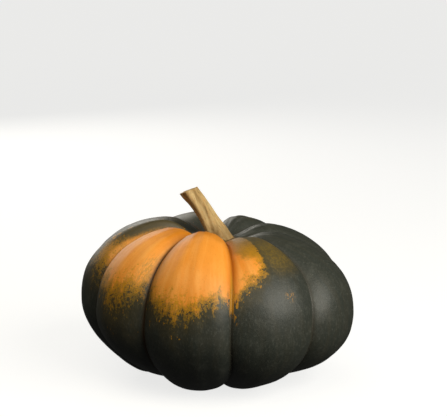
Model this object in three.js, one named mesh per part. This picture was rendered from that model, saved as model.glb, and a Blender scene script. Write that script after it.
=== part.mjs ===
// A whole ribbed squash with its cut stalk, resting on a level surface.
// Millimetres, +Z up. The origin is on the surface, under the middle of the squash. The orange side
// faces -Y.
import * as THREE from "three";

// The body is a rounded core that pillow-shaped ribs swell out of.
const CORE_RADIUS = 109; // at the widest level
const CROWN_RISE = 68; // from the widest level to the top of the core
const BASE_DROP = 67; // from the widest level to the bottom of the core
const WAIST_HEIGHT = 64.5; // of the widest level above the surface
const CROWN_SHAPE = { out: 0.94, up: 0.79 }; // powers of an oval: under 1 is boxier, over 1 leaner
const BASE_SHAPE = { out: 1.12, up: 1.1 };
const OVAL = { share: 0.045, towards: 51 }; // the plan is longer along this direction, in degrees
const SWELL = { share: 0.055, towards: 144 }; // and fuller on one side of the stalk than the other
const LEAN = 4; // degrees that the stalk's axis leans towards +X

// Each rib starts at a furrow. Directions are in degrees round from -Y towards +X. "drift" and "bow"
// move the furrow sideways, in degrees, as it climbs. "side", "crown" and "foot" are how far the rib
// stands out of the core at the widest level, at the top and at the bottom.
const RIBS = [
  { start: -99, drift: 0, bow: 0, side: 10.5, crown: 11.5, foot: 8.5 },
  { start: -71.5, drift: 0, bow: -9, side: 11.5, crown: 8.5, foot: -1.5 },
  { start: -34.5, drift: 0.5, bow: -6.5, side: 11.5, crown: 12.5, foot: 7.5 },
  { start: 8.5, drift: -3, bow: 7, side: 9, crown: 10, foot: 8 },
  { start: 47, drift: 1, bow: 13, side: 11, crown: 8, foot: 3.5 },
  { start: 94, drift: 2, bow: 2, side: 10.5, crown: 9, foot: 7 },
  { start: 133, drift: -2, bow: 3, side: 10, crown: 9.5, foot: 8 },
  { start: 175, drift: 2, bow: -2, side: 10.5, crown: 10, foot: 7 },
  { start: 218, drift: -1, bow: 2, side: 11, crown: 7.5, foot: 8 },
];
const RIB_SHAPE = { shoulder: 2.2, edge: 0.7 }; // a broad round back that drops steeply to its furrows
const FURROW_FADE = 15; // the furrows shallow out over this distance round the stalk

const STALK_HOLLOW = { depth: 12, radius: 31 };
const SEAT_RADIUS = 17.5; // the level spot that the stalk grows from
const BLOSSOM_HOLLOW = { depth: 15, radius: 28 };
const BLOSSOM_SCAR_RADIUS = 6;
const SETTLE_HEIGHT = 18; // the foot of a leaning squash has grown level over about this height
const SINK = 2; // how much of the lowest ribs is pressed flat where they rest

const STEM_LENGTH = 50;
const STEM_TILT = { base: 28, tip: 46 }; // degrees from the squash's axis, towards -X
const STEM_BACK = 0.12; // share of the tilt that goes backwards, towards +Y
const STEM_RADIUS = 7;
const STEM_FLARE = { radius: 13.4, length: 6.5 }; // where it spreads into the squash
const STEM_TIP_SWELL = 0.7;
const STEM_RIDGES = 5;
const RIDGE_SHARE = 0.12; // ridge height as a share of the radius
const RIDGE_TWIST = 35; // degrees that the ridges turn along the stem
const STEM_CUT_SLOPE = -2.5; // how far the cut end slants across the tip
const GAP = 0.3; // between the stem and its seat

const COLUMNS_PER_RIB = 10;
const BODY_ROWS = 34;
const STEM_ROWS = 16;
const STEM_COLUMNS = 30;

const radians = THREE.MathUtils.degToRad;
const signedPower = (value, power) => Math.sign(value) * Math.abs(value) ** power;
const hump = (distance, radius) => Math.exp(-((distance / radius) ** 2));

// One closed surface from a grid of rings, with a centre point that closes each end.
function loft(rows, columns, pointAt, firstCentre, lastCentre) {
  const points = [];
  const faces = [];
  for (let row = 0; row < rows; row++) {
    for (let column = 0; column < columns; column++) points.push(pointAt(row, column));
  }
  const first = points.push(firstCentre) - 1;
  const last = points.push(lastCentre) - 1;
  for (let column = 0; column < columns; column++) {
    const next = (column + 1) % columns;
    faces.push(first, column, next);
    faces.push((rows - 1) * columns + next, (rows - 1) * columns + column, last);
    for (let row = 0; row + 1 < rows; row++) {
      const upper = row * columns;
      const lower = upper + columns;
      faces.push(upper + column, lower + column, upper + next);
      faces.push(upper + next, lower + column, lower + next);
    }
  }
  const geometry = new THREE.BufferGeometry().setFromPoints(points);
  geometry.setIndex(faces);
  geometry.computeVertexNormals();
  return geometry;
}

// The core's outline at a level angle, from 90 degrees at the top to -90 at the bottom.
function coreOutline(level) {
  const shape = level >= 0 ? CROWN_SHAPE : BASE_SHAPE;
  const height = level >= 0 ? CROWN_RISE : BASE_DROP;
  return new THREE.Vector2(
    CORE_RADIUS * Math.max(Math.cos(level), 0) ** shape.out,
    WAIST_HEIGHT + height * signedPower(Math.sin(level), shape.up),
  );
}

// The direction that the core's outline faces at a level angle.
function coreFacing(level) {
  const step = 0.002;
  const along = coreOutline(Math.min(level + step, Math.PI / 2)).sub(
    coreOutline(Math.max(level - step, -Math.PI / 2)),
  );
  return new THREE.Vector2(along.y, -along.x).normalize();
}

// The level angle in the crown, or in the base, at which the core's outline has a radius.
function levelAtRadius(radius, shape) {
  return Math.acos((radius / CORE_RADIUS) ** (1 / shape.out));
}

// The direction of the furrow that a rib starts at. The ribs go once round, so one past the last is
// the first again.
function furrowDirection(index, level) {
  const turns = Math.floor(index / RIBS.length);
  const rib = RIBS[index % RIBS.length];
  const climb = Math.sin(level);
  return radians(rib.start + 360 * turns + rib.drift * climb + rib.bow * climb ** 2);
}

// The whole squash leans about its own middle.
function leaned(point) {
  const pivot = new THREE.Vector3(0, 0, WAIST_HEIGHT);
  return point.sub(pivot).applyAxisAngle(new THREE.Vector3(0, 1, 0), radians(LEAN)).add(pivot);
}

// A point of the body: across runs from -1 to 1 over a rib, from furrow to furrow.
function bodyPoint(ribIndex, across, level) {
  const rib = RIBS[ribIndex];
  const outline = coreOutline(level);
  const facing = coreFacing(level);
  const end = level >= 0 ? rib.crown : rib.foot;
  const stand = THREE.MathUtils.lerp(rib.side, end, Math.sin(level) ** 2);
  const pillow = Math.max(1 - Math.abs(across) ** RIB_SHAPE.shoulder, 0) ** RIB_SHAPE.edge;
  const fade = 1 - hump(Math.max(outline.x - SEAT_RADIUS, 0), FURROW_FADE);

  const hollow = level >= 0 ? STALK_HOLLOW : BLOSSOM_HOLLOW;
  const dip = -Math.sign(level) * hollow.depth * hump(outline.x, hollow.radius);
  const radius = outline.x + facing.x * stand * pillow * fade;
  const height = outline.y + dip + facing.y * stand * pillow * fade;

  const from = furrowDirection(ribIndex, level);
  const to = furrowDirection(ribIndex + 1, level);
  const direction = THREE.MathUtils.lerp(from, to, (across + 1) / 2);
  const plan =
    radius *
    (1 +
      OVAL.share * Math.cos(2 * (direction - radians(OVAL.towards))) +
      SWELL.share * Math.cos(direction - radians(SWELL.towards)));
  return leaned(
    new THREE.Vector3(plan * Math.sin(direction), -plan * Math.cos(direction), height),
  );
}

// The underside grows level as it settles, and is flat where it rests.
function rested(point) {
  const level = point.x * Math.sin(radians(LEAN)) * hump(point.z, SETTLE_HEIGHT);
  point.z = Math.max(point.z + level - SINK, 0);
  return point;
}

const seatLevel = levelAtRadius(SEAT_RADIUS, CROWN_SHAPE);
const scarLevel = -levelAtRadius(BLOSSOM_SCAR_RADIUS, BASE_SHAPE);
const seatHeight = coreOutline(seatLevel).y - STALK_HOLLOW.depth * hump(SEAT_RADIUS, STALK_HOLLOW.radius);

function makeBody() {
  const columns = RIBS.length * COLUMNS_PER_RIB;
  const pointAt = (row, column) => {
    const level = THREE.MathUtils.lerp(seatLevel, scarLevel, row / (BODY_ROWS - 1));
    const share = (2 * (column % COLUMNS_PER_RIB)) / COLUMNS_PER_RIB - 1;
    const across = Math.sin((share * Math.PI) / 2); // closer together towards the furrows
    return rested(bodyPoint(Math.floor(column / COLUMNS_PER_RIB), across, level));
  };
  const seatCentre = leaned(new THREE.Vector3(0, 0, seatHeight));
  seatCentre.z -= SINK;
  const scar = bodyPoint(0, -1, scarLevel);
  const scarCentre = rested(new THREE.Vector3(0, 0, scar.z));
  return loft(BODY_ROWS, columns, pointAt, seatCentre, scarCentre);
}

// The middle of the stem and the way it points, a share of the way from its foot to its tip.
function stemFrame(share) {
  const steps = 24;
  const middle = new THREE.Vector3(0, 0, seatHeight + GAP);
  const along = new THREE.Vector3();
  for (let step = 0; step <= steps; step++) {
    const here = (share * step) / steps;
    const tilt = radians(THREE.MathUtils.lerp(STEM_TILT.base, STEM_TILT.tip, here)) * Math.min(here * 8, 1);
    along.set(-Math.sin(tilt), STEM_BACK * Math.sin(tilt), Math.cos(tilt)).normalize();
    if (step < steps) middle.addScaledVector(along, (STEM_LENGTH * share) / steps);
  }
  return { middle, along };
}

function stemPoint(share, direction) {
  const { middle, along } = stemFrame(share);
  const across = new THREE.Vector3(1, 0, 0).addScaledVector(along, -along.x).normalize();
  const back = new THREE.Vector3().crossVectors(along, across);
  const turned = direction + radians(RIDGE_TWIST) * share;
  const flare = (STEM_FLARE.radius - STEM_RADIUS) * Math.exp((-STEM_LENGTH * share) / STEM_FLARE.length);
  const swell = STEM_TIP_SWELL * hump(1 - share, 0.2);
  const ridge = 1 + RIDGE_SHARE * Math.cos(STEM_RIDGES * direction);
  const radius = (STEM_RADIUS + flare + swell) * ridge;
  const slant = STEM_CUT_SLOPE * Math.cos(turned) * (radius / STEM_RADIUS) * share ** 8;
  return leaned(
    middle
      .addScaledVector(across, radius * Math.cos(turned))
      .addScaledVector(back, radius * Math.sin(turned))
      .addScaledVector(along, slant),
  );
}

function makeStem() {
  const pointAt = (row, column) =>
    stemPoint(1 - row / (STEM_ROWS - 1), (2 * Math.PI * column) / STEM_COLUMNS);
  const lowered = (point) => point.setZ(point.z - SINK);
  return loft(
    STEM_ROWS,
    STEM_COLUMNS,
    (row, column) => lowered(pointAt(row, column)),
    lowered(leaned(stemFrame(1).middle)),
    lowered(leaned(stemFrame(0).middle)),
  );
}

const skin = new THREE.MeshStandardMaterial({ color: "#3a3a33", roughness: 0.5, metalness: 0 });
const cork = new THREE.MeshStandardMaterial({ color: "#cdaa6e", roughness: 0.85, metalness: 0 });

const fruit = new THREE.Mesh(makeBody(), skin);
fruit.name = "fruit";
const stem = new THREE.Mesh(makeStem(), cork);
stem.name = "stem";

const group = new THREE.Group();
group.add(fruit, stem);

// The origin moves under the middle of the squash's own box.
const middle = new THREE.Box3().setFromObject(fruit).getCenter(new THREE.Vector3());
group.position.set(-middle.x, -middle.y, 0);

export default group;
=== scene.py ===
"""A whole ribbed squash with its cut stem, on a pale studio floor. Metres, +Z up, orange side to -Y."""

import math

import bpy
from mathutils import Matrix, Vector, kdtree, noise
from types import SimpleNamespace


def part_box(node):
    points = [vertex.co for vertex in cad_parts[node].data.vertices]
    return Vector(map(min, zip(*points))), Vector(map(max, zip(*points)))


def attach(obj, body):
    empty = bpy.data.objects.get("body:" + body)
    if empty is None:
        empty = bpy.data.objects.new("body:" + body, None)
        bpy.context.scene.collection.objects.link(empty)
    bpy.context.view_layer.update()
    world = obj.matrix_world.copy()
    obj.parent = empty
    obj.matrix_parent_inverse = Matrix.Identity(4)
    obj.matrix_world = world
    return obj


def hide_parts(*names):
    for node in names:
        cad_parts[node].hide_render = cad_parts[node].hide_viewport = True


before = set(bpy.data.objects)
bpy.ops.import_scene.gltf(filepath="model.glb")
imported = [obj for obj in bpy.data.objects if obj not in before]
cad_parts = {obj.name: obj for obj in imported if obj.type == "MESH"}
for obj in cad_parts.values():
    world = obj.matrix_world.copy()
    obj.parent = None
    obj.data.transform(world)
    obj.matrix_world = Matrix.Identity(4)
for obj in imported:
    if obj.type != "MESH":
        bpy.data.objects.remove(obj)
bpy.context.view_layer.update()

MM = 0.001

# Camera: looks down a little at the orange side. Its aim is measured from the stem's foot.
CAMERA_AIM = Vector((7.5 * MM, 19 * MM, 144 * MM))
CAMERA_DISTANCE = 1.2
CAMERA_ELEVATION = 11.7
CAMERA_LENS = 109.2
CAMERA_SENSOR = 36.0

# How the skin ripens. Directions are degrees round the stem from the front, + to the right. For
# each: the height where orange gives way to the dark rind, and how far the mottling reaches either
# way, in mm.
RIPENING = [
    (-100, 155, 8),
    (-90, 134, 9),
    (-80, 113, 10),
    (-74, 107, 10),
    (-64, 100, 11),
    (-56, 94, 12),
    (-47, 95, 12),
    (-41, 98, 12),
    (-36, 108, 9),
    (-32, 98, 8),
    (-26, 92, 9),
    (-17, 88, 9),
    (-9, 89, 8),
    (-2, 93, 5),
    (6, 97, 3),
    (10.5, 96, 4),
    (14, 103, 5),
    (20, 110, 4),
    (26, 117, 4),
    (29, 124, 4),
    (32, 155, 6),
]
HEIGHT_SCALE = 160  # mm, more than the highest of these heights
REACH_SCALE = 40  # mm, more than the longest of these reaches
RIPE_TOP_FROM = 10  # right of this direction the crown of the ribs stays olive
LONE_SPECKLES = Vector((62 * MM, -98 * MM, 95 * MM))

# The squash's skin.
FURROW_SHARP = 34  # degrees between faces across a furrow, at least
FURROW_CREASE = 0.55
FURROW_REACH = 9 * MM  # a rib is as uneven as it gets from here on, and smooth at its furrows
CROWN_REACH = 50 * MM  # and from here on outwards, and smooth at the stem
REST_REACH = 12 * MM  # and from here on upwards, and smooth where it rests
FLUTE = 0.75  # mm, shallow waves along the ribs
LUMP = 0.8  # mm
DENT = 0.14  # mm
COLLAR_RADIUS = 15 * MM  # the skin swells up in a ring against the stem's foot
COLLAR_WIDTH = 3.5 * MM
COLLAR_RISE = 1.6 * MM
COLLAR_ABOVE = 90 * MM  # only on the stem's side

# The stem.
STEM_SHARP = 50  # degrees between faces round the cut, at least
STEM_CREASE = 0.7
STEM_RIDGE = 0.42  # mm
STEM_LUMP = 0.35  # mm
STEM_FOOT_SPREAD = 0.16  # share that the very foot widens, where it runs into the skin
STEM_FOOT_SINK = 1.6 * MM
STEM_FOOT_LENGTH = 6 * MM
CUT_RADIUS = 6.5 * MM  # the cut end has shrunk in inside this
CUT_SINK = 0.9  # mm

# The studio, in metres.
FLOOR_RADIUS = 1.9
FLOOR_TURN = 1.2  # radius of the turn from floor to wall
FLOOR_TURN_STEPS = 10
WALL_HEIGHT = 2.0
LIGHT_AIM = Vector((0.0, 0.0, 0.07))
AIR_LIGHT = 0.035
# Softboxes: direction round from the front and elevation in degrees, distance, width and height,
# watts, colour.
SOFTBOXES = {
    "key": (51, 31, 1.3, (1.2, 1.0), 20.0, (1.0, 0.965, 0.87)),
    "top": (-25, 60, 1.2, (1.2, 1.0), 5.4, (1.0, 0.94, 0.78)),
    "fill": (-55, 20, 1.6, (1.0, 0.6), 0.5, (1.0, 0.95, 0.84)),
    "back": (210, 24, 1.5, (1.2, 0.8), 9.0, (1.0, 0.96, 0.86)),
}

# Linear colours.
DARK_SKIN = (0.029, 0.0335, 0.0265)
DARK_SKIN_WARM = (0.041, 0.040, 0.028)
DARK_SKIN_PALE = (0.100, 0.103, 0.085)
OLIVE = (0.105, 0.068, 0.007)
OLIVE_HAZE = (0.17, 0.11, 0.016)
OLIVE_GREY = (0.26, 0.19, 0.05)
MUSTARD = (0.54, 0.24, 0.004)
# Painted shade: the browner orange on the crown round the stem.
PAINTED_SHADE_MUSTARD_BROWN = (0.53, 0.17, 0.002)
ORANGE = (0.83, 0.265, 0.012)
ORANGE_PALE = (0.94, 0.43, 0.085)
# Deep orange: flecks in the rind and spots on the stem, and painted shade beside the furrows.
ORANGE_DEEP = (0.50, 0.145, 0.002)
# Painted shade: the dark brown in the floors of the furrows.
FURROW_PAINTED_SHADE = (0.045, 0.024, 0.006)
# Painted shade: the brown beside the furrows on the left ribs.
PAINTED_SHADE_BROWN = (0.28, 0.125, 0.022)
SCAR_TAN = (0.34, 0.22, 0.09)
CORK = (0.50, 0.33, 0.13)
CORK_PALE = (0.64, 0.47, 0.22)
CORK_BROWN = (0.17, 0.095, 0.03)


# ---------------------------------------------------------------------------------- shader maths


class Sock:
    """A shader socket that can be reckoned with as a number."""

    def __init__(self, tree, socket):
        self.tree = tree
        self.socket = socket

    def _maths(self, operation, *values):
        node = self.tree.add("ShaderNodeMath", {"operation": operation}, dict(enumerate(values)))
        return node[0]

    def __add__(self, other):
        return self._maths("ADD", self, other)

    def __sub__(self, other):
        return self._maths("SUBTRACT", self, other)

    def __mul__(self, other):
        return self._maths("MULTIPLY", self, other)

    def __truediv__(self, other):
        return self._maths("DIVIDE", self, other)

    def __rsub__(self, other):
        return self._maths("SUBTRACT", other, self)

    __radd__ = __add__
    __rmul__ = __mul__

    def at_least(self, other):
        return self._maths("MAXIMUM", self, other)

    def at_most(self, other):
        return self._maths("MINIMUM", self, other)

    def root(self):
        return self._maths("SQRT", self)

    def direction(self, other):
        return self._maths("ARCTAN2", self, other)

    def rise(self, start, end):
        """0 at start and below, 1 at end and above, smooth between them."""
        settings = {"interpolation_type": "SMOOTHSTEP"}
        return self.tree.add("ShaderNodeMapRange", settings, {0: self, 1: start, 2: end})[0]


class Nodes:
    """A material's node tree."""

    def __init__(self, name):
        self.material = bpy.data.materials.new(name)
        self.material.use_nodes = True
        self.tree = self.material.node_tree
        self.tree.nodes.clear()

    def add(self, kind, settings=None, inputs=None):
        """Adds a node, sets it, links or fills its sockets, and gives its outputs in order."""
        node = self.tree.nodes.new(kind)
        for key, value in (settings or {}).items():
            if key == "stops":
                self._stops(node.color_ramp, value)
            else:
                setattr(node, key, value)
        for key, value in (inputs or {}).items():
            if isinstance(value, Sock):
                self.tree.links.new(value.socket, node.inputs[key])
            else:
                node.inputs[key].default_value = value
        return [Sock(self, output) for output in node.outputs]

    def _stops(self, ramp, stops):
        while len(ramp.elements) < len(stops):
            ramp.elements.new(1.0)
        for element, (place, colour) in zip(ramp.elements, stops):
            element.position = place
            element.color = (*colour, 1.0)

    def mix(self, share, first, second):
        """A colour that goes from first to second."""
        inputs = {0: share}
        for key, value in ((6, first), (7, second)):
            inputs[key] = value if isinstance(value, Sock) else (*value, 1.0)
        return self.add("ShaderNodeMix", {"data_type": "RGBA"}, inputs)[2]

    def place(self, x, y, z):
        return self.add("ShaderNodeCombineXYZ", None, {0: x, 1: y, 2: z})[0]

    def grain(self, where, scale, detail=2.0, roughness=0.55):
        """Noise from 0 to 1, mostly close to a half."""
        inputs = {
            "Vector": where,
            "Scale": scale,
            "Detail": detail,
            "Roughness": roughness,
        }
        return self.add("ShaderNodeTexNoise", None, inputs)[0]

    def bump(self, height, distance, strength, normal=None):
        inputs = {"Height": height, "Distance": distance, "Strength": strength}
        if normal:
            inputs["Normal"] = normal
        return self.add("ShaderNodeBump", None, inputs)[0]

    def surface(self, inputs):
        shader = self.add("ShaderNodeBsdfPrincipled", None, inputs)[0]
        self.add("ShaderNodeOutputMaterial", None, {0: shader})
        return self.material


# -------------------------------------------------------------------------------------- materials


def turned(angle):
    """A direction in degrees as a share of the way round, from the back."""
    return (angle + 180) / 360


def skin_places(n, axis):
    """Where each point of the skin lies round the stem."""
    at = SimpleNamespace()
    at.where = n.add("ShaderNodeTexCoord")[3]
    x, y, at.z = n.add("ShaderNodeSeparateXYZ", None, {0: at.where})
    at.x = x - axis.x
    at.y = y - axis.y
    at.radius = (at.x * at.x + at.y * at.y).root().at_least(1 * MM)
    at.share = at.x.direction(0 - at.y) / (2 * math.pi) + 0.5
    at.furrow = n.add("ShaderNodeAttribute", {"attribute_name": "furrow"})[2]
    return at


def skin_grains(n, at):
    """The noises that break up the skin's colours. The streaks are drawn out along the ribs."""
    x, y, z = at.x, at.y, at.z
    grains = SimpleNamespace()
    grains.streak = n.grain(n.place(x / at.radius * 1.6, y / at.radius * 1.6, z * 3.0), 14.0, 3.0)
    drawn = n.place(x / at.radius * 2.0, y / at.radius * 2.0, z * 7.0)
    grains.fine_streak = n.grain(drawn, 46.0, 3.0, 0.6)
    grains.cloud = n.grain(at.where, 24.0, 3.0)
    grains.blotch = n.grain(at.where, 95.0, 3.0, 0.6)
    grains.finger = n.grain(n.place(x * 1.3, y * 1.3, z * 0.4), 130.0, 3.0, 0.6)
    grains.fleck = n.grain(n.place(x * 1.3, y * 1.3, z * 0.8), 420.0, 2.0, 0.6)
    grains.dash = n.grain(n.place(x * 1.35, y * 1.35, z * 0.6), 300.0, 2.0, 0.55)
    grains.fine = n.grain(at.where, 950.0, 2.0, 0.6)
    grains.grit = (grains.fleck - 0.5) * 3.2 + (grains.fine - 0.5) * 1.8
    return grains


def skin_regions(at, grains):
    """Masks from 0 to 1 for the regions that ripen in their own way. The last rib is the left-most."""
    on = SimpleNamespace()
    on.right = at.share.rise(turned(RIPE_TOP_FROM - 1), turned(RIPE_TOP_FROM + 4))
    on.left = 1 - at.share.rise(turned(-20), turned(0))
    on.crown = (at.z + (grains.blotch - 0.5) * (10 * MM)).rise(119 * MM, 125 * MM) * on.right
    beside_furrow = at.share + (at.z - 90 * MM) * 0.42
    on.last_rib = 1 - beside_furrow.rise(turned(-75), turned(-71))
    on.last_end = (1 - beside_furrow.rise(turned(-88), turned(-79))) * 0.85
    high = (at.z + (grains.blotch - 0.5) * (14 * MM) + grains.grit * MM).rise(115 * MM, 127 * MM)
    on.last_crown = high * on.last_rib
    return on


def skin_ripeness(n, at, grains, on):
    """0 on the line between dark and orange, 1 past the mottling above it, low round the stem."""
    stops = []
    for angle, height, reach in RIPENING:
        stops.append((turned(angle), (height / HEIGHT_SCALE, reach / REACH_SCALE, 0.0)))
    edge = n.add("ShaderNodeValToRGB", {"stops": stops}, {0: at.share})[0]
    middle, reach, _ = n.add("ShaderNodeSeparateColor", None, {0: edge})
    wander = (grains.cloud - 0.5) * (14 * MM) + (grains.blotch - 0.5) * (8 * MM)
    wander = wander + (grains.finger - 0.5) * (1 - on.right * 0.6) * (30 * MM)
    ripeness = (at.z - middle * (HEIGHT_SCALE * MM) + wander) / (reach * (REACH_SCALE * MM))
    return ripeness.at_most(3.0) - (1 - at.radius.rise(17 * MM, 32 * MM)) * 4.5


def dark_rind(n, at, grains, ripeness):
    """Dusty charcoal green, with an olive haze and mustard specks where it begins to ripen."""
    colour = n.mix(grains.streak.rise(0.35, 0.7) * 0.6, DARK_SKIN, DARK_SKIN_WARM)
    dust = grains.fine_streak.rise(0.5, 0.8) * 0.25 + grains.fleck.rise(0.52, 0.8) * 0.4
    dust = dust + grains.blotch.rise(0.5, 0.75) * 0.2
    colour = n.mix(dust, colour, DARK_SKIN_PALE)
    haze = (ripeness + (grains.cloud - 0.5) * 3.0 + (grains.fine_streak - 0.5) * 2.0).rise(-4.5, 0.3)
    colour = n.mix(haze * 0.45, colour, OLIVE)
    shoulder = at.share.rise(turned(26), turned(34)) * (1 - at.share.rise(turned(44), turned(56)))
    shoulder = shoulder * at.z.rise(104 * MM, 120 * MM) * (1 - at.z.rise(126 * MM, 136 * MM))
    shoulder = shoulder * (grains.fleck.rise(0.42, 0.6) * 0.5 + 0.5)
    colour = n.mix(shoulder * 0.8, colour, OLIVE_HAZE)
    speckle = (ripeness * 0.3 + (grains.dash - 0.5) * 6.0).rise(0.36, 0.7) * ripeness.rise(-5.0, -3.2)
    speckle = speckle * (1 - ripeness.rise(0.2, 1.0))
    settings = {"operation": "DISTANCE"}
    lone = n.add("ShaderNodeVectorMath", settings, {0: at.where, 1: LONE_SPECKLES})[1]
    lone = (1 - lone.rise(1 * MM, 7 * MM)) * grains.fleck.rise(0.48, 0.62) * 0.7
    return n.mix((speckle + lone).at_most(1.0) * 0.75, colour, MUSTARD)


def mottled_rind(n, grains, on):
    """The band between dark and orange: grains of mustard and olive."""
    olive = (grains.fleck * 0.6 + grains.fine * 0.4).rise(0.46, 0.58) * (1 - on.crown * 0.8)
    colour = n.mix(olive, MUSTARD, OLIVE_HAZE)
    return n.mix(on.crown * 0.4 + on.last_rib * 0.3, colour, OLIVE_HAZE)


def ripe_rind(n, at, grains, on):
    """Orange with some olive just left of the front rib; painted shade browns it towards the stem."""
    pale = grains.streak.rise(0.4, 0.7) * 0.35 + (grains.cloud - 0.5) + 0.28
    colour = n.mix(pale, ORANGE, ORANGE_PALE)
    deeper = grains.fine_streak.rise(0.56, 0.8) * 0.22 + grains.fleck.rise(0.55, 0.8) * 0.22
    colour = n.mix(deeper, colour, ORANGE_DEEP)
    # Painted shade: the orange turns mustard-brown towards the stem, where the crown lies in shadow.
    reach = at.radius + (grains.blotch - 0.5) * (22 * MM) - on.left * (8 * MM)
    colour = n.mix((1 - reach.rise(34 * MM, 64 * MM)) * 0.85, colour, PAINTED_SHADE_MUSTARD_BROWN)
    green = at.share.rise(turned(-45), turned(-41)) * (1 - at.share.rise(turned(-39), turned(-36)))
    green = green * at.z.rise(92 * MM, 100 * MM) * (1 - at.z.rise(114 * MM, 124 * MM))
    green = green * (grains.fine_streak * 0.6 + grains.fleck * 0.4).rise(0.42, 0.6) * 0.5
    return n.mix(green, colour, OLIVE_GREY)


def colour_furrows(n, at, grains, on, mustard, colour):
    """Painted shade along the furrows: deeper orange beside them on the right, brown beside them on the
    left and dark brown in their floors, most on the left. The front one keeps a mustard strip and specks
    to its right.
    """
    # Painted shade: deeper orange beside the furrows right of the front rib, in the mottled band.
    painted_furrow_shade = 1 - at.furrow.rise(0.3 * MM, 9 * MM)
    colour = n.mix(painted_furrow_shade * mustard * (1 - on.left) * 0.85, colour, ORANGE_DEEP)
    # Painted shade: brown on the left ribs beside their furrows.
    shade = (1 - at.furrow.rise(1 * MM, 17 * MM)) * at.share.rise(turned(-40), turned(-33)) * on.left
    colour = n.mix(shade * mustard * 0.75, colour, PAINTED_SHADE_BROWN)
    strip = (1 - at.furrow.rise(1.4 * MM, 3.0 * MM)) * at.share.rise(turned(2), turned(5))
    strip = strip * (1 - at.share.rise(turned(9), turned(10.5)))
    strip = strip * (at.z + grains.grit * (3 * MM)).rise(79 * MM, 86 * MM)
    beside = at.furrow.rise(2 * MM, 3 * MM) * (1 - at.furrow.rise(5 * MM, 7 * MM))
    beside = beside * at.share.rise(turned(8), turned(10)) * (1 - at.share.rise(turned(15), turned(17)))
    beside = beside * at.z.rise(72 * MM, 78 * MM) * (1 - at.z.rise(95 * MM, 98 * MM))
    beside = beside * (grains.dash * 0.7 + grains.finger * 0.3).rise(0.49, 0.56)
    colour = n.mix((strip + beside).at_most(1.0) * 0.85, colour, MUSTARD)
    # Painted shade: dark brown in the furrows' floors, strongest on the left.
    painted_crease_shade = 1 - at.furrow.rise(0.2 * MM, 3.5 * MM)
    return n.mix(painted_crease_shade * (on.left * 0.75 + 0.2), colour, FURROW_PAINTED_SHADE)


def skin_material(axis):
    """The rind: charcoal green, ripening to orange, with a mottled mustard band between."""
    n = Nodes("squash_skin")
    at = skin_places(n, axis)
    grains = skin_grains(n, at)
    on = skin_regions(at, grains)
    ripeness = skin_ripeness(n, at, grains, on)
    cloud, blotch, fleck, grit = grains.cloud, grains.blotch, grains.fleck, grains.grit

    dull = (on.crown + on.last_rib * 0.7 + on.last_crown).at_most(1.0)
    orange = (ripeness + grit * 1.0 + (blotch - 0.5) * 1.5).rise(-0.3, 1.2) * (1 - dull)
    top_end = (at.z + grit * MM).rise(124 * MM, 136 * MM) * on.right + on.last_crown + on.last_end
    mustard = (ripeness + grit * 1.8).rise(-1.2, -0.6) * (1 - top_end.at_most(1.0))
    colour = n.mix(mustard, dark_rind(n, at, grains, ripeness), mottled_rind(n, grains, on))
    colour = n.mix(orange, colour, ripe_rind(n, at, grains, on))
    # Painted shade along the furrows, with the front one's mustard strip and specks.
    colour = colour_furrows(n, at, grains, on, mustard, colour)

    # Corky spots: where the blossom was, and round the stem's foot.
    spot = (at.radius + (blotch - 0.5) * (7 * MM)).rise(5 * MM, 10 * MM)
    blossom = (1 - spot) * (1 - at.z.rise(30 * MM, 40 * MM))
    colour = n.mix(blossom * 0.9, colour, SCAR_TAN)
    collar = 1 - (at.radius + (fleck - 0.5) * (9 * MM)).rise(15 * MM, 20 * MM)
    collar = collar * at.z.rise(90 * MM, 100 * MM)
    colour = n.mix(collar * 0.7, colour, CORK_BROWN)

    dents = n.bump(blotch, 1.2 * MM, 0.2)
    return n.surface(
        {
            "Base Color": colour,
            "Roughness": 0.46 + (fleck - 0.5) * 0.22 + (cloud - 0.5) * 0.2 + orange * 0.04 + collar * 0.25,
            "Normal": n.bump(fleck, 0.35 * MM, 0.35, dents),
            "Specular IOR Level": 0.42,
        }
    )


def stem_material(foot, tip):
    """Dry, corky stem with fibres along it, browner at its foot and in the middle of the cut."""
    n = Nodes("squash_stem")
    where = n.add("ShaderNodeTexCoord")[3]
    chord = tip - foot
    turn = chord.to_track_quat("Z", "Y").inverted().to_euler()
    centred = n.add("ShaderNodeVectorMath", {"operation": "SUBTRACT"}, {0: where, 1: foot})[0]
    settings = {"rotation_type": "EULER_XYZ"}
    along = n.add("ShaderNodeVectorRotate", settings, {"Vector": centred, "Rotation": turn})[0]
    x, y, z = n.add("ShaderNodeSeparateXYZ", None, {0: along})
    across = (x * x + y * y).root()
    drawn = n.place(x, y, z * 0.1)
    fibre = n.grain(drawn, 850.0, 4.0, 0.65)
    band = n.grain(drawn, 280.0, 3.0)
    spot = n.grain(where, 330.0, 3.0)
    colour = n.mix(band.rise(0.35, 0.7), CORK, CORK_PALE)
    colour = n.mix(fibre.rise(0.48, 0.72) * 0.7, colour, CORK_BROWN)
    colour = n.mix(spot.rise(0.54, 0.7) * 0.35, colour, ORANGE_DEEP)
    low = 1 - (z + (spot - 0.5) * (14 * MM)).rise(0.5 * MM, 17 * MM)
    colour = n.mix(low * 0.65, colour, CORK_BROWN)
    cut = z.rise(chord.length - 2.6 * MM, chord.length - 1.4 * MM)
    pith = 1 - (across + (fibre - 0.5) * (2 * MM)).rise(1.5 * MM, 4 * MM)
    colour = n.mix(cut * (pith * 0.6 + 0.12), colour, CORK_BROWN)
    height = fibre * 0.6 + band * 0.4
    return n.surface(
        {
            "Base Color": colour,
            "Roughness": 0.78 + (fibre - 0.5) * 0.3,
            "Normal": n.bump(height, 0.8 * MM, 0.6),
            "Specular IOR Level": 0.3,
        }
    )


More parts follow.
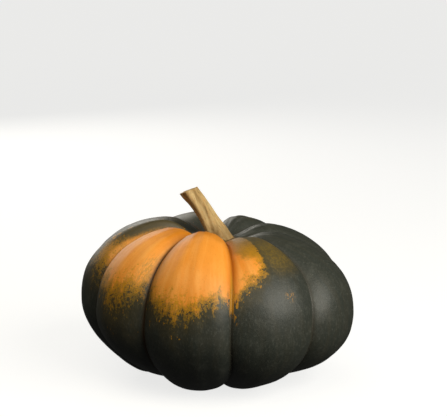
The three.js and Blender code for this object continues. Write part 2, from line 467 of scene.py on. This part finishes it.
def floor_material():
    n = Nodes("studio_floor")
    return n.surface(
        {
            "Base Color": (0.3, 0.3, 0.3, 1.0),
            "Roughness": 0.9,
            "Emission Color": (1.0, 1.0, 0.99, 1.0),
            "Emission Strength": 0.78,
            "Specular IOR Level": 0.1,
        }
    )


# ----------------------------------------------------------------------------------------- pieces


def deselect_all():
    if bpy.context.object and bpy.context.object.mode != "OBJECT":
        bpy.ops.object.mode_set(mode="OBJECT")
    bpy.ops.object.select_all(action="DESELECT")


def work_on(piece):
    deselect_all()
    piece.select_set(True)
    bpy.context.view_layer.objects.active = piece


def copy_of_node(node, name):
    """A copy of a node with its loose triangles joined into one smooth-topped mesh of quads."""
    work_on(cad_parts[node])
    bpy.ops.object.duplicate()
    piece = bpy.context.object
    piece.name = name
    piece.data.name = name
    piece.data.materials.clear()
    for key in list(piece.keys()):
        del piece[key]
    bpy.ops.object.mode_set(mode="EDIT")
    bpy.ops.mesh.select_all(action="SELECT")
    bpy.ops.mesh.remove_doubles(threshold=0.01 * MM)
    bpy.ops.mesh.tris_convert_to_quads(face_threshold=math.radians(60), shape_threshold=math.radians(60))
    bpy.ops.mesh.normals_make_consistent(inside=False)
    bpy.ops.object.mode_set(mode="OBJECT")
    return piece


def crease_sharp_edges(piece, angle, crease):
    """Creases the edges sharper than an angle, and gives their ends."""
    work_on(piece)
    bpy.ops.object.mode_set(mode="EDIT")
    bpy.ops.mesh.select_mode(type="EDGE")
    bpy.ops.mesh.select_all(action="DESELECT")
    bpy.ops.mesh.edges_select_sharp(sharpness=math.radians(angle))
    bpy.ops.transform.edge_crease(value=crease)
    bpy.ops.object.mode_set(mode="OBJECT")
    mesh = piece.data
    return [tuple(mesh.vertices[v].co.copy() for v in edge.vertices) for edge in mesh.edges if edge.select]


def subdivide_smooth(piece, levels):
    work_on(piece)
    bpy.ops.object.modifier_add(type="SUBSURF")
    modifier = piece.modifiers[-1]
    modifier.levels = levels
    modifier.render_levels = levels
    bpy.ops.object.modifier_apply(modifier=modifier.name)
    bpy.ops.object.shade_smooth()


def finish_piece(piece, material, node):
    piece.data.materials.clear()
    piece.data.materials.append(material)
    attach(piece, "root")
    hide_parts(node)


def furrow_tree(edges):
    steps = 6
    points = [a.lerp(b, step / steps) for a, b in edges for step in range(steps)]
    tree = kdtree.KDTree(len(points))
    for index, point in enumerate(points):
        tree.insert(point, index)
    tree.balance()
    return tree


def make_squash(axis):
    """The fruit: the ribs' furrows stay crisp, and each rib gets shallow flutes and dents."""
    squash = copy_of_node("fruit", "squash")
    furrows = furrow_tree(crease_sharp_edges(squash, FURROW_SHARP, FURROW_CREASE))
    subdivide_smooth(squash, 2)
    mesh = squash.data
    distances = [furrows.find(vertex.co)[2] for vertex in mesh.vertices]
    normals = [vertex.normal.copy() for vertex in mesh.vertices]
    for vertex, normal, distance in zip(mesh.vertices, normals, distances):
        place = vertex.co - axis
        out = Vector((place.x, place.y, 0.0))
        round_place = out.normalized()
        flute = noise.noise(Vector((round_place.x * 9.0, round_place.y * 9.0, place.z * 6.0)))
        lump = noise.noise(place * 28.0)
        dent = noise.noise(place * 110.0)
        free = min(distance / FURROW_REACH, 1.0) * min(out.length / CROWN_REACH, 1.0)
        rest = min(max(place.z, 0.0) / REST_REACH, 1.0)
        move = (flute * FLUTE + lump * LUMP + dent * DENT) * MM * free * rest
        vertex.co += normal * move
        if place.z > COLLAR_ABOVE:
            ring = math.exp(-(((out.length - COLLAR_RADIUS) / COLLAR_WIDTH) ** 2))
            vertex.co.z += COLLAR_RISE * ring * (1.0 + 1.2 * noise.noise(place * 190.0))
    furrow = mesh.attributes.new("furrow", "FLOAT", "POINT")
    furrow.data.foreach_set("value", distances)
    return squash


def make_stem(foot, tip):
    """The stem: fibrous ridges, a foot that runs into the skin, and a cut end that has shrunk in."""
    stem = copy_of_node("stem", "stem_stalk")
    crease_sharp_edges(stem, STEM_SHARP, STEM_CREASE)
    subdivide_smooth(stem, 3)
    chord = tip - foot
    turn = chord.to_track_quat("Z", "Y").inverted()
    mesh = stem.data
    normals = [vertex.normal.copy() for vertex in mesh.vertices]
    for vertex, normal in zip(mesh.vertices, normals):
        place = turn @ (vertex.co - foot)
        height = vertex.co.z - foot.z
        ridge = noise.noise(Vector((place.x * 330.0, place.y * 330.0, place.z * 16.0)))
        lump = noise.noise(place * 90.0)
        vertex.co += normal * (ridge * STEM_RIDGE + lump * STEM_LUMP) * MM
        low = max(1.0 - height / STEM_FOOT_LENGTH, 0.0) ** 2
        if low > 0.0:
            vertex.co.x += (vertex.co.x - foot.x) * STEM_FOOT_SPREAD * low
            vertex.co.y += (vertex.co.y - foot.y) * STEM_FOOT_SPREAD * low
            vertex.co.z -= STEM_FOOT_SINK * low
        inside = 1.0 - Vector((place.x, place.y)).length / CUT_RADIUS
        faces_out = normal.dot(chord.normalized()) > 0.6
        if place.z > chord.length - 4 * MM and inside > 0.0 and faces_out:
            vertex.co -= normal * min(inside * 3.0, 1.0) * CUT_SINK * MM
    return stem


# ------------------------------------------------------------------------------------------ studio


def make_floor():
    """A round floor that turns up into a wall, far outside every view."""
    deselect_all()
    bpy.ops.mesh.primitive_circle_add(vertices=96, radius=FLOOR_RADIUS, fill_type="NGON")
    floor = bpy.context.object
    floor.name = "studio_floor"
    bpy.ops.object.mode_set(mode="EDIT")
    bpy.ops.mesh.select_mode(type="EDGE")
    bpy.ops.mesh.select_all(action="SELECT")
    bpy.ops.mesh.region_to_loop()
    radius = FLOOR_RADIUS
    height = 0.0
    for step in range(1, FLOOR_TURN_STEPS + 1):
        angle = math.pi / 2 * step / FLOOR_TURN_STEPS
        new_radius = FLOOR_RADIUS + FLOOR_TURN * math.sin(angle)
        new_height = FLOOR_TURN * (1 - math.cos(angle))
        bpy.ops.mesh.extrude_edges_move()
        bpy.ops.transform.resize(value=(new_radius / radius, new_radius / radius, 1.0))
        bpy.ops.transform.translate(value=(0, 0, new_height - height))
        radius, height = new_radius, new_height
    bpy.ops.mesh.extrude_edges_move()
    bpy.ops.transform.translate(value=(0, 0, WALL_HEIGHT))
    bpy.ops.mesh.select_all(action="SELECT")
    bpy.ops.mesh.normals_make_consistent(inside=True)
    bpy.ops.object.mode_set(mode="OBJECT")
    bpy.ops.object.shade_smooth_by_angle(angle=math.radians(40))
    floor.data.materials.append(floor_material())
    floor.visible_diffuse = False
    floor.visible_glossy = False


def softbox(name, direction, elevation, distance, size, watts, colour):
    """An area light that faces the squash, from a direction in degrees round from the front."""
    a = math.radians(direction)
    e = math.radians(elevation)
    away = Vector((math.sin(a) * math.cos(e), -math.cos(a) * math.cos(e), math.sin(e)))
    data = bpy.data.lights.new(name, "AREA")
    data.shape = "RECTANGLE"
    data.size, data.size_y = size
    data.energy = watts
    data.color = colour
    light = bpy.data.objects.new(name, data)
    bpy.context.scene.collection.objects.link(light)
    light.location = LIGHT_AIM + away * distance
    light.rotation_euler = away.to_track_quat("Z", "Y").to_euler()
    light.visible_camera = False


def make_camera(axis):
    e = math.radians(CAMERA_ELEVATION)
    back = Vector((0.0, -math.cos(e), math.sin(e)))
    data = bpy.data.cameras.new("camera")
    data.lens = CAMERA_LENS
    data.sensor_width = CAMERA_SENSOR
    camera = bpy.data.objects.new("camera", data)
    bpy.context.scene.collection.objects.link(camera)
    camera.location = axis + CAMERA_AIM + back * CAMERA_DISTANCE
    camera.rotation_euler = back.to_track_quat("Z", "Y").to_euler()
    bpy.context.scene.camera = camera


def make_studio(axis):
    make_floor()
    for name, settings in SOFTBOXES.items():
        softbox(name, *settings)
    world = bpy.data.worlds.new("studio_air")
    world.use_nodes = True
    background = world.node_tree.nodes["Background"]
    background.inputs[0].default_value = (1.0, 1.0, 1.0, 1.0)
    background.inputs[1].default_value = AIR_LIGHT
    bpy.context.scene.world = world
    bpy.context.scene.view_settings.view_transform = "Standard"
    make_camera(axis)


# ---------------------------------------------------------------------------------------- assembly

# The squash's axis stands in the middle of the stem's foot.
stem_low, stem_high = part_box("stem")
stem_vertices = [vertex.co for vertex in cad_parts["stem"].data.vertices]
foot_ring = [co for co in stem_vertices if co.z < stem_low.z + 2.5 * MM]
stem_foot = sum(foot_ring, Vector()) / len(foot_ring)
tip_ring = [co for co in stem_vertices if co.z > stem_high.z - 3 * MM]
stem_tip = sum(tip_ring, Vector()) / len(tip_ring)
axis = Vector((stem_foot.x, stem_foot.y, 0.0))

squash = make_squash(axis)
finish_piece(squash, skin_material(axis), "fruit")
stem = make_stem(stem_foot, stem_tip)
finish_piece(stem, stem_material(stem_foot, stem_tip), "stem")
make_studio(axis)
